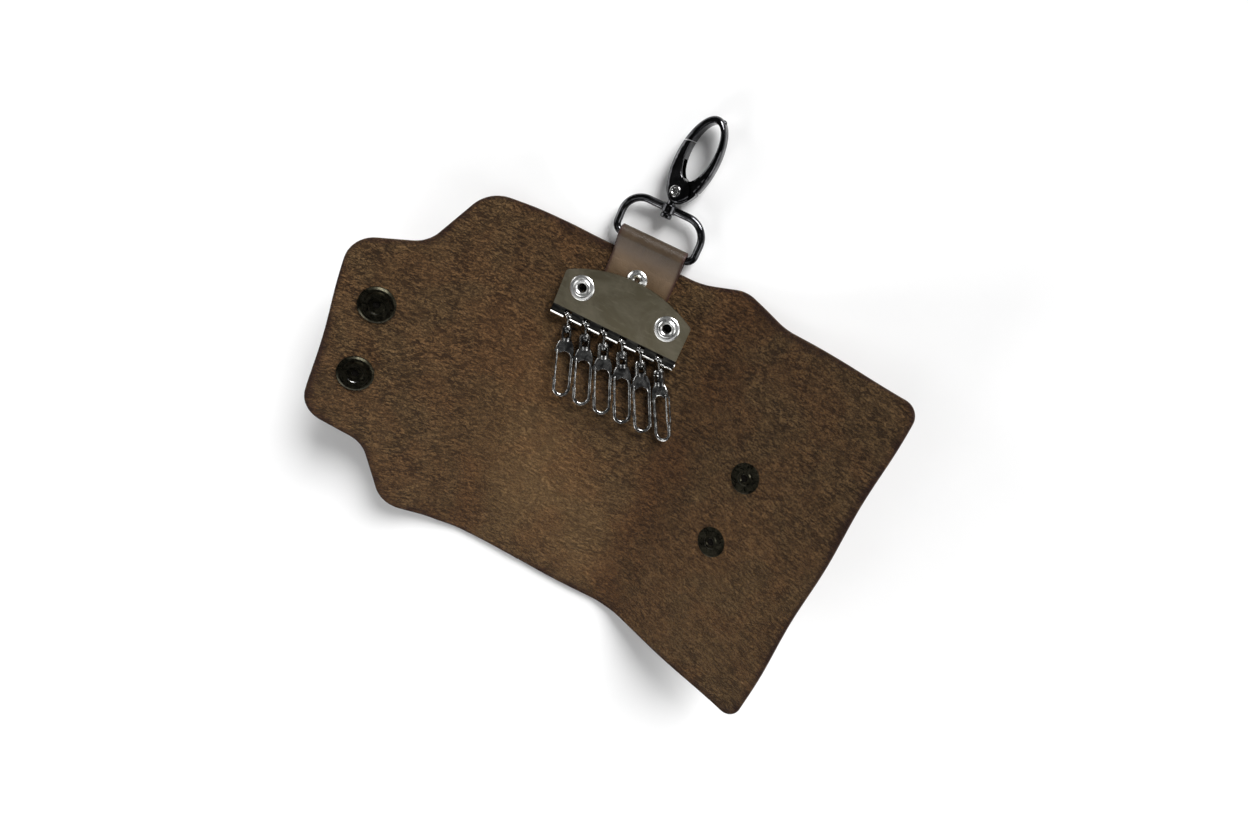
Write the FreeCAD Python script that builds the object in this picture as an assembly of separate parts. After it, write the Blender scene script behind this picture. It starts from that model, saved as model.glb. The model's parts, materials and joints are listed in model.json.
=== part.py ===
import FreeCAD, Part
import math
import os

# Key organiser: a leather key case, lying open with its suede side up, that folds in three round a
# six-hook key plate, and a swivel clasp on a leather loop.
# X runs along the case, Y towards the clasp, Z up. The origin is on the table under the middle of
# the centre panel. Millimetres.

# ---------------------------------------------------------------- driving dimensions

# leather case, cut from one piece and folded along four lines
LEATHER = 1.8            # thickness of the case leather
CASE_HALF_HEIGHT = 60.5  # half of the case's size along Y
PANEL_LEFT = 26.3        # centre panel, from the plate's middle to its left fold line
PANEL_RIGHT = 32.8       # and to its right fold line
RIGHT_SPINE = 7.85       # strip between the two folds on the right
LEFT_SPINE = 12.65       # wider, because the left flap closes over the right one
RIGHT_END = 97.6         # end of the right flap, along the flat leather
LEFT_END = 90.9          # end of the left flap's tab, along the flat leather
SHOULDER_X = 55.4        # where the left flap starts to narrow
SHOULDER_FOOT_X = 68.4
SHOULDER_FOOT_Y = 38.0
TAB_HALF_HEIGHT = 31.5
CORNER_RADIUS = 5.0
SHOULDER_RADIUS = 12.0
TAB_RADIUS = 10.0
# the upper edge swells out over the right inner fold: along the case, half height, rounding
SWELL = [(50.0, 60.5, 25.0), (33.0, 65.2, 11.0), (19.0, 60.5, 25.0)]
FOLD_REST = 13.0         # degrees each fold is bent at rest
FOLD_GAP = 1.2           # soft strip on each side of a fold line

# rivet caps under the leather, on which the case rests
CAP_HEIGHT = 0.6

# snap fasteners
SNAP_Y = 12.7
STUD_X = 61.5            # studs, along the flat leather of the right flap
SOCKET_RADIUS = 6.15
SOCKET_HEIGHT = 2.4
EYELET_RADIUS = 5.1
SNAP_CAP_HEIGHT = 1.2
STUD_FLANGE = 0.5
STUD_HEIGHT = 2.0
STUD_RADIUS = 2.55
SNAP_POST_RADIUS = 1.7

# leather loop that carries the clasp
STRAP = 1.2              # thickness of one layer
STRAP_WIDTH = 22.8
STRAP_TAIL_Y = 44.0
STRAP_RIVET_Y = 53.4
STRAP_POST = 1.3         # radius of the rivet's post
STRAP_HEAD = 3.3

# key plate and its rolled barrel
PLATE = 0.7
PLATE_HALF_WIDTH = 22.3
PLATE_SHOULDER_Y = 47.0
PLATE_CROWN_Y = 53.0
ROD_Y = 33.2
BARREL_RADIUS = 1.9
BARREL_BORE = 1.15
ROD_RADIUS = 0.7
SLOT_LEFT = 0.95         # slots reach further right, the way the hooks lean
SLOT_RIGHT = 1.5
HOOK_PITCH = 6.66
HOOK_COUNT = 6
PLATE_RIVET_X = 15.3
PLATE_RIVET_Y = 43.7
RIVET_TUBE = 2.1         # radius of the tubular rivets that hold the plate
RIVET_HEAD = 4.15

# key hooks: sizes along the hook are measured from the rod
EYE_RADIUS = 1.2
EYE_WIRE = 0.3
STEM_WIRE = 0.32
BALL_RADIUS = 1.15
BALL_AT = 5.2
BELL_TOP = 3.7
BELL_BOTTOM = 8.8
BELL_RADIUS = 1.95
RING_HALF_WIDTH = 3.1
RING_WIRE = 1.1
RING_THICKNESS = 1.3
RING_END = 28.0
GATE_PIVOT_W = RING_HALF_WIDTH - RING_WIRE / 2  # sideways from the hook's middle
GATE_PIVOT_T = 12.0
GATE_TIP_T = 21.4
GATE_WIRE = 0.3
HOOK_TILTS = [17.3, 19.5, 21.7, 23.9, 26.1, 28.3]  # how each hook leans along the rod at rest
HOOK_LOUVRE = 20.0       # how far each ring is turned about its own length at rest
HOOK_LIFT = 1.8          # the rings lie on the suede, a little above the rod

# swivel clasp
RING_BAR_Y = 65.1
RING_TOP_Y = 77.7
RING_HALF = 13.5         # bar centre to side centre
RING_ROD = 1.2
RING_TOP_CORNER = 6.6
RING_BAR_CORNER = 2.7
COLLAR_RADIUS = 2.4
COLLAR_LENGTH = 2.8
POST_RADIUS = 1.28
POST_CLEARANCE = 0.07
CLASP_Y = 80.0           # foot of the clasp's hook
CLASP_LENGTH = 28.2
CLASP_WIDTH = 13.4
CLASP_THICKNESS = 4.6
CLASP_SLANT = 6.0        # the oval leans away from the swivel's line
CLASP_TURN = 11.0        # the hook is turned on its swivel at rest
CLASP_GAP = 0.3
CLASP_PIVOT = (0.4, 3.4)
PIN_RADIUS = 0.9
CLASP_CHEEK = 0.8
CLASP_DISC = 4.5

# ---------------------------------------------------------------- derived heights

LEATHER_BOTTOM = CAP_HEIGHT
LEATHER_TOP = LEATHER_BOTTOM + LEATHER
LEATHER_MIDDLE = LEATHER_BOTTOM + LEATHER / 2
STRAP_MIDDLE = LEATHER_TOP + STRAP
STRAP_TOP = LEATHER_TOP + 2 * STRAP
ROD_Z = LEATHER_TOP + 0.05 + BARREL_RADIUS
PLATE_TOP = ROD_Z + BARREL_RADIUS
PLATE_BOTTOM = PLATE_TOP - PLATE
RIGHT_FOLD_OUT = PANEL_RIGHT + RIGHT_SPINE
LEFT_FOLD_OUT = PANEL_LEFT + LEFT_SPINE
SOCKET_X = LEFT_FOLD_OUT + PANEL_LEFT + PANEL_RIGHT - (STUD_X - RIGHT_FOLD_OUT)

X_AXIS = FreeCAD.Vector(1, 0, 0)
Y_AXIS = FreeCAD.Vector(0, 1, 0)
Z_AXIS = FreeCAD.Vector(0, 0, 1)


# ---------------------------------------------------------------- helpers

def vec(x, y, z=0.0):
    return FreeCAD.Vector(x, y, z)


def box(x0, x1, y0, y1, z0, z1):
    return Part.makeBox(x1 - x0, y1 - y0, z1 - z0, vec(x0, y0, z0))


def cylinder(radius, start, along, length):
    return Part.makeCylinder(radius, length, start, along)


def turned(shape, centre, axis, degrees):
    copy = shape.copy()
    copy.rotate(centre, axis, degrees)
    return copy


def moved(shape, x, y, z):
    copy = shape.copy()
    copy.translate(vec(x, y, z))
    return copy


def revolved(profile, centre, axis):
    """Turn a closed profile of (radius, height) points about Z, then stand it on an axis."""
    wire = Part.makePolygon([vec(r, 0, h) for r, h in profile + profile[:1]])
    solid = Part.Face(wire).revolve(vec(0, 0), Z_AXIS, 360)
    solid.Placement = FreeCAD.Placement(centre, FreeCAD.Rotation(Z_AXIS, axis))
    return solid


def rounded_outline(corners):
    """A closed wire through (x, y, radius) corners, each rounded by an arc that touches both sides."""
    pieces = []
    count = len(corners)
    starts = []
    for i in range(count):
        x, y, radius = corners[i]
        here = vec(x, y)
        back = vec(*corners[i - 1][:2]) - here
        ahead = vec(*corners[(i + 1) % count][:2]) - here
        half = back.getAngle(ahead) / 2
        reach = radius / math.tan(half)
        back.normalize()
        ahead.normalize()
        middle = back + ahead
        middle.normalize()
        centre = here + middle * (radius / math.sin(half))
        first = here + back * reach
        last = here + ahead * reach
        crown = centre - middle * radius
        starts.append((first, crown, last))
    for i in range(count):
        first, crown, last = starts[i]
        pieces.append(Part.Arc(first, crown, last).toShape())
        pieces.append(Part.makeLine(last, starts[(i + 1) % count][0]))
    return Part.Wire(pieces)


def slab(wire, z0, z1):
    return moved(Part.Face(wire).extrude(vec(0, 0, z1 - z0)), 0, 0, z0)


def swept_tube(path_wire, start, along, radius):
    circle = Part.Wire(Part.Circle(start, along, radius).toShape())
    return path_wire.makePipeShell([circle], True, False)


def softened(solid, radius, chosen):
    """Round the chosen edges."""
    edges = [edge for edge in solid.Edges if chosen(edge)]
    return solid.makeFillet(radius, edges)


def on_levels(levels):
    """Choose the edges that lie wholly at one of the given heights."""
    def chosen(edge):
        box_z = edge.BoundBox
        flat = box_z.ZMax - box_z.ZMin < 0.01
        return flat and any(abs(box_z.ZMin - level) < 0.01 for level in levels)
    return chosen


def export(name, shape):
    shape.exportStep("parts/%s.step" % name)


# ---------------------------------------------------------------- leather case

def fold_right(shape, outer):
    """Bend a piece of the flat leather up at the right folds; outer pieces bend at both."""
    middle = LEATHER_MIDDLE
    bent = shape
    if outer:
        bent = turned(bent, vec(RIGHT_FOLD_OUT, 0, middle), Y_AXIS, -FOLD_REST)
    return turned(bent, vec(PANEL_RIGHT, 0, middle), Y_AXIS, -FOLD_REST)


def fold_left(shape, outer):
    middle = LEATHER_MIDDLE
    bent = shape
    if outer:
        bent = turned(bent, vec(-LEFT_FOLD_OUT, 0, middle), Y_AXIS, FOLD_REST)
    return turned(bent, vec(-PANEL_LEFT, 0, middle), Y_AXIS, FOLD_REST)


def flat_case(z0, z1):
    """The whole leather laid flat: a square-cut right end and a left end that narrows to a tab."""
    right_end = (RIGHT_END, CASE_HALF_HEIGHT, CORNER_RADIUS)
    left_end = [
        (-SHOULDER_X, CASE_HALF_HEIGHT, SHOULDER_RADIUS),
        (-SHOULDER_FOOT_X, SHOULDER_FOOT_Y, SHOULDER_RADIUS),
        (-LEFT_END, TAB_HALF_HEIGHT, TAB_RADIUS),
    ]
    upper = [right_end] + SWELL + left_end
    lower = [(x, -y, radius) for x, y, radius in reversed([right_end] + left_end)]
    return slab(rounded_outline(upper + lower), z0, z1)


def flat_hole(x, y, radius):
    return cylinder(radius, vec(x, y, LEATHER_BOTTOM - 1), Z_AXIS, LEATHER + 2)


def case_piece(flat, x0, x1):
    reach = CASE_HALF_HEIGHT + 10
    return flat.common(box(x0, x1, -reach, reach, LEATHER_BOTTOM - 1, LEATHER_TOP + 1))


def fold_strip(fold_x, side):
    """The soft strip over one fold line, in the frame of the piece nearer the centre."""
    reach = CASE_HALF_HEIGHT + 10
    half = LEATHER / 2
    bend = math.radians(FOLD_REST)
    along = (math.cos(bend), math.sin(bend))
    near_top = (-FOLD_GAP, half)
    near_bottom = (-FOLD_GAP, -half)
    far_top = (FOLD_GAP * along[0] - half * along[1], FOLD_GAP * along[1] + half * along[0])
    far_bottom = (FOLD_GAP * along[0] + half * along[1], FOLD_GAP * along[1] - half * along[0])
    crown = half / math.cos(bend / 2)
    outside = (crown * math.sin(bend / 2), -crown * math.cos(bend / 2))
    outline = [near_top, near_bottom, outside, far_bottom, far_top]
    corners = [vec(fold_x + side * x, -reach, LEATHER_MIDDLE + z) for x, z in outline]
    face = Part.Face(Part.makePolygon(corners + corners[:1]))
    return face.extrude(vec(0, 2 * reach, 0)).common(flat_case(LEATHER_BOTTOM - 5, LEATHER_TOP + 5))


def make_leather():
    flat = flat_case(LEATHER_BOTTOM, LEATHER_TOP)
    gap = FOLD_GAP
    snap_hole = SNAP_POST_RADIUS
    middle = case_piece(flat, -PANEL_LEFT + gap, PANEL_RIGHT - gap)
    for x in (-PLATE_RIVET_X, PLATE_RIVET_X):
        middle = middle.cut(flat_hole(x, PLATE_RIVET_Y, RIVET_TUBE))
    middle = middle.cut(flat_hole(0, STRAP_RIVET_Y, STRAP_POST))
    export("leather_centre_panel", middle)

    right_spine = case_piece(flat, PANEL_RIGHT + gap, RIGHT_FOLD_OUT - gap)
    export("leather_right_spine", fold_right(right_spine, False))
    right_flap = case_piece(flat, RIGHT_FOLD_OUT + gap, RIGHT_END + 1)
    for y in (-SNAP_Y, SNAP_Y):
        right_flap = right_flap.cut(flat_hole(STUD_X, y, snap_hole))
    export("leather_right_flap", fold_right(right_flap, True))
    export("leather_right_inner_fold", fold_strip(PANEL_RIGHT, 1))
    export("leather_right_outer_fold", fold_right(fold_strip(RIGHT_FOLD_OUT, 1), False))

    left_spine = case_piece(flat, -LEFT_FOLD_OUT + gap, -PANEL_LEFT - gap)
    export("leather_left_spine", fold_left(left_spine, False))
    left_flap = case_piece(flat, -LEFT_END - 1, -LEFT_FOLD_OUT - gap)
    for y in (-SNAP_Y, SNAP_Y):
        left_flap = left_flap.cut(flat_hole(-SOCKET_X, y, snap_hole))
    export("leather_left_flap", fold_left(left_flap, True))
    export("leather_left_inner_fold", fold_strip(-PANEL_LEFT, -1))
    export("leather_left_outer_fold", fold_left(fold_strip(-LEFT_FOLD_OUT, -1), False))


# ---------------------------------------------------------------- snap fasteners

def snap_socket():
    """Pressed ring with a raised mouth that grips the stud; it stands on the suede at height 0."""
    profile = [
        (SNAP_POST_RADIUS, 0), (SOCKET_RADIUS, 0), (SOCKET_RADIUS, 0.9), (5.5, 1.3), (4.7, 1.3),
        (4.3, SOCKET_HEIGHT), (3.0, SOCKET_HEIGHT), (2.75, 2.0), (3.6, 1.6), (3.6, 0.7), (SNAP_POST_RADIUS, 0.35),
    ]
    return profile


def snap_spring():
    """Split wire ring in the socket's mouth, which snaps behind the stud's head."""
    ring = Part.makeTorus(3.2, 0.28, vec(0, 0, 1.15), Z_AXIS)
    return ring.cut(box(2.2, 4.2, -0.5, 0.5, 0.6, 1.7))


def snap_cap():
    """Domed cap on the grain side, with the hollow post that is flared inside the socket."""
    profile = [
        (SNAP_POST_RADIUS - 0.5, 0.6), (SNAP_POST_RADIUS - 0.5, -LEATHER - 0.3),
        (0, -LEATHER - 0.3), (0, -LEATHER - SNAP_CAP_HEIGHT), (3.2, -LEATHER - SNAP_CAP_HEIGHT + 0.12),
        (5.2, -LEATHER - 0.7), (SOCKET_RADIUS + 0.05, -LEATHER - 0.25), (SOCKET_RADIUS + 0.05, -LEATHER),
        (SNAP_POST_RADIUS, -LEATHER), (SNAP_POST_RADIUS, 0.35), (2.4, 0.49), (2.4, 0.69),
    ]
    return profile


def snap_stud():
    """Stud on the grain side of the right flap, pointing away from the suede."""
    base = -LEATHER
    tip = base - STUD_FLANGE - STUD_HEIGHT + 0.3
    profile = [
        (SNAP_POST_RADIUS, base), (4.95, base), (4.95, base - 0.25), (3.6, base - STUD_FLANGE),
        (2.1, base - STUD_FLANGE), (2.1, base - 1.2), (STUD_RADIUS, base - 1.7),
        (STUD_RADIUS, tip + 0.4), (2.1, tip), (1.45, tip), (1.45, base - 0.5), (SNAP_POST_RADIUS, base - 0.3),
    ]
    return profile


def snap_eyelet():
    """Eyelet on the suede of the right flap: a flat disc with a raised ring round a deep hole."""
    profile = [
        (1.2, -LEATHER - 0.9), (1.2, 0.35), (1.5, 0.6), (2.1, 0.6), (2.4, 0.35), (4.8, 0.3),
        (EYELET_RADIUS, 0.1), (EYELET_RADIUS, 0), (SNAP_POST_RADIUS, 0), (SNAP_POST_RADIUS, -LEATHER - 0.2),
        (1.4, -LEATHER - 0.5), (1.4, -LEATHER - 0.9),
    ]
    return profile


def make_snaps():
    for place, y in (("upper", SNAP_Y), ("lower", -SNAP_Y)):
        stand = vec(-SOCKET_X, y, LEATHER_TOP)
        export("snap_socket_" + place, fold_left(revolved(snap_socket(), stand, Z_AXIS), True))
        export("snap_cap_" + place, fold_left(revolved(snap_cap(), stand, Z_AXIS), True))
        spring = moved(snap_spring(), stand.x, stand.y, stand.z)
        export("snap_spring_" + place, fold_left(spring, True))
        stand = vec(STUD_X, y, LEATHER_TOP)
        export("snap_stud_" + place, fold_right(revolved(snap_stud(), stand, Z_AXIS), True))
        export("snap_eyelet_" + place, fold_right(revolved(snap_eyelet(), stand, Z_AXIS), True))


# ---------------------------------------------------------------- loop strap and rivets

def make_strap():
    """A strip folded round the ring's bar, its two ends glued together under the plate."""
    centre = (RING_BAR_Y, STRAP_MIDDLE)
    inner = RING_ROD + 0.3
    outer = inner + STRAP

    def teardrop(radius, tip_y, tip_half):
        """Round end on the bar, running back along tangents to a narrow or pointed tail."""
        lower = vec(0, tip_y, centre[1] - tip_half)
        upper = vec(0, tip_y, centre[1] + tip_half)
        away = centre[0] - tip_y
        slope = math.atan2(tip_half, away)
        turn = math.acos(radius / math.hypot(away, tip_half))
        angle = math.pi - slope - turn
        top = vec(0, centre[0] + radius * math.cos(angle), centre[1] + radius * math.sin(angle))
        bottom = vec(0, top.y, 2 * centre[1] - top.z)
        end = vec(0, centre[0] + radius, centre[1])
        pieces = [Part.makeLine(upper, top), Part.Arc(top, end, bottom).toShape(), Part.makeLine(bottom, lower)]
        if tip_half > 0:
            pieces.append(Part.makeLine(lower, upper))
        return Part.Face(Part.Wire(pieces))

    bend_start = CASE_HALF_HEIGHT + 0.4
    half = STRAP_WIDTH / 2
    loop = teardrop(outer, bend_start, STRAP).extrude(vec(STRAP_WIDTH, 0, 0))
    layers = box(0, STRAP_WIDTH, STRAP_TAIL_Y, bend_start, LEATHER_TOP, STRAP_TOP)
    strap = loop.fuse(layers).removeSplitter()
    strap = strap.cut(teardrop(inner, bend_start + 0.6, 0).extrude(vec(STRAP_WIDTH, 0, 0)))
    strap = moved(strap, -half, 0, 0)
    hole = cylinder(STRAP_POST, vec(0, STRAP_RIVET_Y, LEATHER_TOP - 1), Z_AXIS, 6)
    export("loop_strap", strap.cut(hole))


def make_rivets():
    under = LEATHER_BOTTOM
    head = [
        (0.0, 0.3), (STRAP_POST - 0.35, 0.3), (STRAP_POST - 0.35, STRAP_TOP - under), (1.3, STRAP_TOP - under + 0.3),
        (1.9, STRAP_TOP - under + 0.55), (2.7, STRAP_TOP - under + 0.5), (STRAP_HEAD, STRAP_TOP - under + 0.15),
        (STRAP_HEAD, STRAP_TOP - under), (STRAP_POST, STRAP_TOP - under), (STRAP_POST, 0), (0, 0),
    ]
    export("strap_rivet", revolved(head, vec(0, STRAP_RIVET_Y, under), Z_AXIS))
    cap = [(0, 0), (0, -CAP_HEIGHT), (2.6, -CAP_HEIGHT), (STRAP_HEAD, -0.25), (STRAP_HEAD, 0)]
    export("strap_rivet_cap", revolved(cap, vec(0, STRAP_RIVET_Y, under), Z_AXIS))

    top = PLATE_TOP - under
    eyelet = [
        (RIVET_TUBE - 0.5, 0.3), (RIVET_TUBE - 0.5, top + 0.1), (2.0, top + 0.45), (2.5, top + 0.55),
        (2.9, top + 0.3), (3.3, top + 0.4), (3.8, top + 0.35), (RIVET_HEAD, top + 0.1), (RIVET_HEAD, top),
        (RIVET_TUBE, top), (RIVET_TUBE, 0), (0, 0), (0, 0.3),
    ]
    cap = [(0, 0), (0, -CAP_HEIGHT), (3.4, -CAP_HEIGHT), (RIVET_HEAD, -0.25), (RIVET_HEAD, 0)]
    for side, x in (("left", -PLATE_RIVET_X), ("right", PLATE_RIVET_X)):
        foot = vec(x, PLATE_RIVET_Y, under)
        export("plate_rivet_" + side, revolved(eyelet, foot, Z_AXIS))
        export("plate_rivet_cap_" + side, revolved(cap, foot, Z_AXIS))


# ---------------------------------------------------------------- key plate

def hook_places():
    first = -HOOK_PITCH * (HOOK_COUNT - 1) / 2
    return [first + HOOK_PITCH * number for number in range(HOOK_COUNT)]


def make_plate():
    """Pressed plate with a curved top edge; its front edge is rolled into a slotted barrel."""
    wide = PLATE_HALF_WIDTH
    left = vec(-wide, PLATE_SHOULDER_Y)
    right = vec(wide, PLATE_SHOULDER_Y)
    outline = Part.Wire([
        Part.makeLine(vec(-wide, ROD_Y), vec(wide, ROD_Y)),
        Part.makeLine(vec(wide, ROD_Y), right),
        Part.Arc(right, vec(0, PLATE_CROWN_Y), left).toShape(),
        Part.makeLine(left, vec(-wide, ROD_Y)),
    ])
    plate = slab(outline, PLATE_BOTTOM, PLATE_TOP)
    plate = softened(plate, 1.2, lambda edge: edge.BoundBox.ZLength > 0.5 and edge.BoundBox.YMin > ROD_Y + 5)
    start = vec(-wide, ROD_Y, ROD_Z)
    plate = plate.fuse(cylinder(BARREL_RADIUS, start, X_AXIS, 2 * wide))
    crimp = 1.6
    plate = plate.cut(cylinder(ROD_RADIUS, start, X_AXIS, 2 * wide))
    bore_start = vec(crimp - wide, ROD_Y, ROD_Z)
    plate = plate.cut(cylinder(BARREL_BORE, bore_start, X_AXIS, 2 * (wide - crimp)))
    reach = BARREL_RADIUS + 0.2
    for x in hook_places():
        slot = box(x - SLOT_LEFT, x + SLOT_RIGHT, ROD_Y - reach, ROD_Y + 1.85, ROD_Z - reach, ROD_Z + reach)
        plate = plate.cut(slot)
    for x in (-PLATE_RIVET_X, PLATE_RIVET_X):
        plate = plate.cut(cylinder(RIVET_TUBE, vec(x, PLATE_RIVET_Y, PLATE_BOTTOM - 1), Z_AXIS, 3))
    export("key_plate", plate)

    rod_half = wide + 0.25
    rod = cylinder(ROD_RADIUS, vec(-rod_half, ROD_Y, ROD_Z), X_AXIS, 2 * rod_half)
    export("key_rod", rod)


# ---------------------------------------------------------------- key hooks
# Each hook is drawn hanging along -Y from a rod along X at the origin, flat in the XY plane.

def hook_stem():
    """Wire eye on the rod, a short shank and the ball on which the ring turns."""
    eye = Part.makeTorus(EYE_RADIUS, EYE_WIRE, vec(0, 0), X_AXIS)
    shank = cylinder(STEM_WIRE, vec(0, -EYE_RADIUS), -Y_AXIS, BALL_AT - EYE_RADIUS)
    ball = Part.makeSphere(BALL_RADIUS, vec(0, -BALL_AT))
    return eye.fuse([shank, ball])


def hook_bell():
    """Open cup that holds the ball: a countersunk mouth and two arms."""
    profile = [
        (1.2, -BELL_TOP), (BELL_RADIUS - 0.35, -BELL_TOP), (BELL_RADIUS, -BELL_TOP - 0.5),
        (BELL_RADIUS, -BELL_BOTTOM), (0, -BELL_BOTTOM), (0, -BELL_BOTTOM + 1.2),
        (1.45, -BELL_BOTTOM + 1.2), (1.45, -BELL_TOP - 0.8), (0.9, -BELL_TOP - 0.7),
    ]
    bell = revolved(profile, vec(0, 0), Y_AXIS)
    window = box(-1.0, 1.0, -BELL_BOTTOM + 1.2, -BELL_TOP - 1.0, -3, 3)
    return bell.cut(window)


def hook_ring():
    """Oval ring under the cup, open on the gate's side between the pivot lug and the nose."""
    half = RING_THICKNESS / 2
    side = RING_HALF_WIDTH
    inside = side - RING_WIRE
    low = RING_END - side
    shoulder = 13.0
    neck_t = 8.2
    neck = 1.7
    outline = Part.Wire([
        Part.makeLine(vec(-neck, -neck_t), vec(neck, -neck_t)),
        Part.Arc(vec(neck, -neck_t), vec(2.75, -10.2), vec(side, -shoulder)).toShape(),
        Part.makeLine(vec(side, -shoulder), vec(side, -low)),
        Part.Arc(vec(side, -low), vec(0, -RING_END), vec(-side, -low)).toShape(),
        Part.makeLine(vec(-side, -low), vec(-side, -shoulder)),
        Part.Arc(vec(-side, -shoulder), vec(-2.75, -10.2), vec(-neck, -neck_t)).toShape(),
    ])
    window_top = 14.4
    window = Part.Wire([
        Part.Arc(vec(-inside, -window_top), vec(0, -window_top + inside), vec(inside, -window_top)).toShape(),
        Part.makeLine(vec(inside, -window_top), vec(inside, -low)),
        Part.Arc(vec(inside, -low), vec(0, -low - inside), vec(-inside, -low)).toShape(),
        Part.makeLine(vec(-inside, -low), vec(-inside, -window_top)),
    ])
    ring = slab(outline, -half, half).cut(slab(window, -half - 1, half + 1))
    ring = softened(ring, 0.4, on_levels([-half, half]))
    pivot = vec(-GATE_PIVOT_W, -GATE_PIVOT_T, -half)
    nose_t = GATE_TIP_T + 0.5
    mouth = box(-side - 1, -inside + 0.3, -nose_t, -GATE_PIVOT_T - 0.5, -half - 1, half + 1)
    lug = cylinder(0.85, pivot, Z_AXIS, RING_THICKNESS)
    lip = box(-side - 0.2, -side + 0.15, -nose_t - 0.6, -nose_t + 0.9, -half + 0.3, half - 0.3)
    ring = ring.cut(mouth).fuse([lug, lip])
    hole = cylinder(GATE_WIRE + 0.05, pivot - Z_AXIS, Z_AXIS, RING_THICKNESS + 2)
    return ring.cut(hole)


def hook_gate():
    """Sprung wire loop: both ends turn in the ring's lug, and the bar across shuts on the nose."""
    spread = RING_THICKNESS / 2 + GATE_WIRE + 0.07
    side = -GATE_PIVOT_W
    pivot_y = -GATE_PIVOT_T
    tip_y = -GATE_TIP_T
    points = [(pivot_y, 0.12), (pivot_y, spread), (tip_y, spread), (tip_y, 0.0)]
    solid = None
    for sign in (-1, 1):
        ends = [vec(side, y, sign * z) for y, z in points]
        for start, end in zip(ends, ends[1:]):
            run = end - start
            piece = cylinder(GATE_WIRE, start, run, run.Length)
            solid = piece if solid is None else solid.fuse(piece)
        for corner in ends[1:3]:
            solid = solid.fuse(Part.makeSphere(GATE_WIRE, corner))
    return solid.removeSplitter()


def hang(shape, number, turned_ring):
    """Put a part of one hook in its place on the rod, leaning, louvred and lifted as it lies."""
    placed = shape
    last = number == HOOK_COUNT - 1
    if turned_ring:
        louvre = 180 - HOOK_LOUVRE if last else HOOK_LOUVRE
        placed = turned(placed, vec(0, 0), Y_AXIS, louvre)
    placed = turned(placed, vec(0, 0), X_AXIS, -HOOK_LIFT)
    placed = turned(placed, vec(0, 0), Z_AXIS, HOOK_TILTS[number])
    return moved(placed, hook_places()[number], ROD_Y, ROD_Z)


def make_hooks():
    stem = hook_stem()
    body = hook_bell().fuse(hook_ring())
    gate = hook_gate()
    for number in range(HOOK_COUNT):
        export("key_stem_%d" % (number + 1), hang(stem, number, False))
        export("key_hook_%d" % (number + 1), hang(body, number, True))
        export("key_gate_%d" % (number + 1), hang(gate, number, True))


# ---------------------------------------------------------------- swivel clasp
# The ring lies in the plane of the strap. The hook is drawn along +Y from its foot at the origin.

def make_ring():
    """D-ring: a straight bar in the strap, rounded shoulders, and a bored collar on the far side."""
    low = RING_BAR_Y
    high = RING_TOP_Y
    corners = [
        (-RING_HALF, low, RING_BAR_CORNER), (RING_HALF, low, RING_BAR_CORNER),
        (RING_HALF, high, RING_TOP_CORNER), (-RING_HALF, high, RING_TOP_CORNER),
    ]
    path = rounded_outline(corners)
    path = moved(path, 0, 0, STRAP_MIDDLE)
    start = path.Edges[0].valueAt(path.Edges[0].FirstParameter)
    along = path.Edges[0].tangentAt(path.Edges[0].FirstParameter)
    ring = swept_tube(path, start, along, RING_ROD)
    collar_start = high - COLLAR_LENGTH / 2
    collar = cylinder(COLLAR_RADIUS, vec(0, collar_start, STRAP_MIDDLE), Y_AXIS, COLLAR_LENGTH)
    collar = collar.makeFillet(0.35, [edge for edge in collar.Edges if len(edge.Vertexes) == 1])
    bore = cylinder(POST_RADIUS + POST_CLEARANCE, vec(0, collar_start - 1, STRAP_MIDDLE), Y_AXIS, COLLAR_LENGTH + 2)
    export("clasp_ring", ring.fuse(collar).cut(bore))


def oval(centre, half_width, half_length, depth):
    """Slanted oval block, as deep as given, round z = 0."""
    ellipse = Part.Ellipse(vec(0, 0), half_length, half_width)
    block = slab(Part.Wire(ellipse.toShape()), -depth / 2, depth / 2)
    block = turned(block, vec(0, 0), Z_AXIS, 90 - CLASP_SLANT)
    return moved(block, centre[0], centre[1], 0)


def place_clasp(shape):
    placed = turned(shape, vec(0, 0), Y_AXIS, -CLASP_TURN)
    return moved(placed, 0, CLASP_Y, STRAP_MIDDLE)


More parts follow.
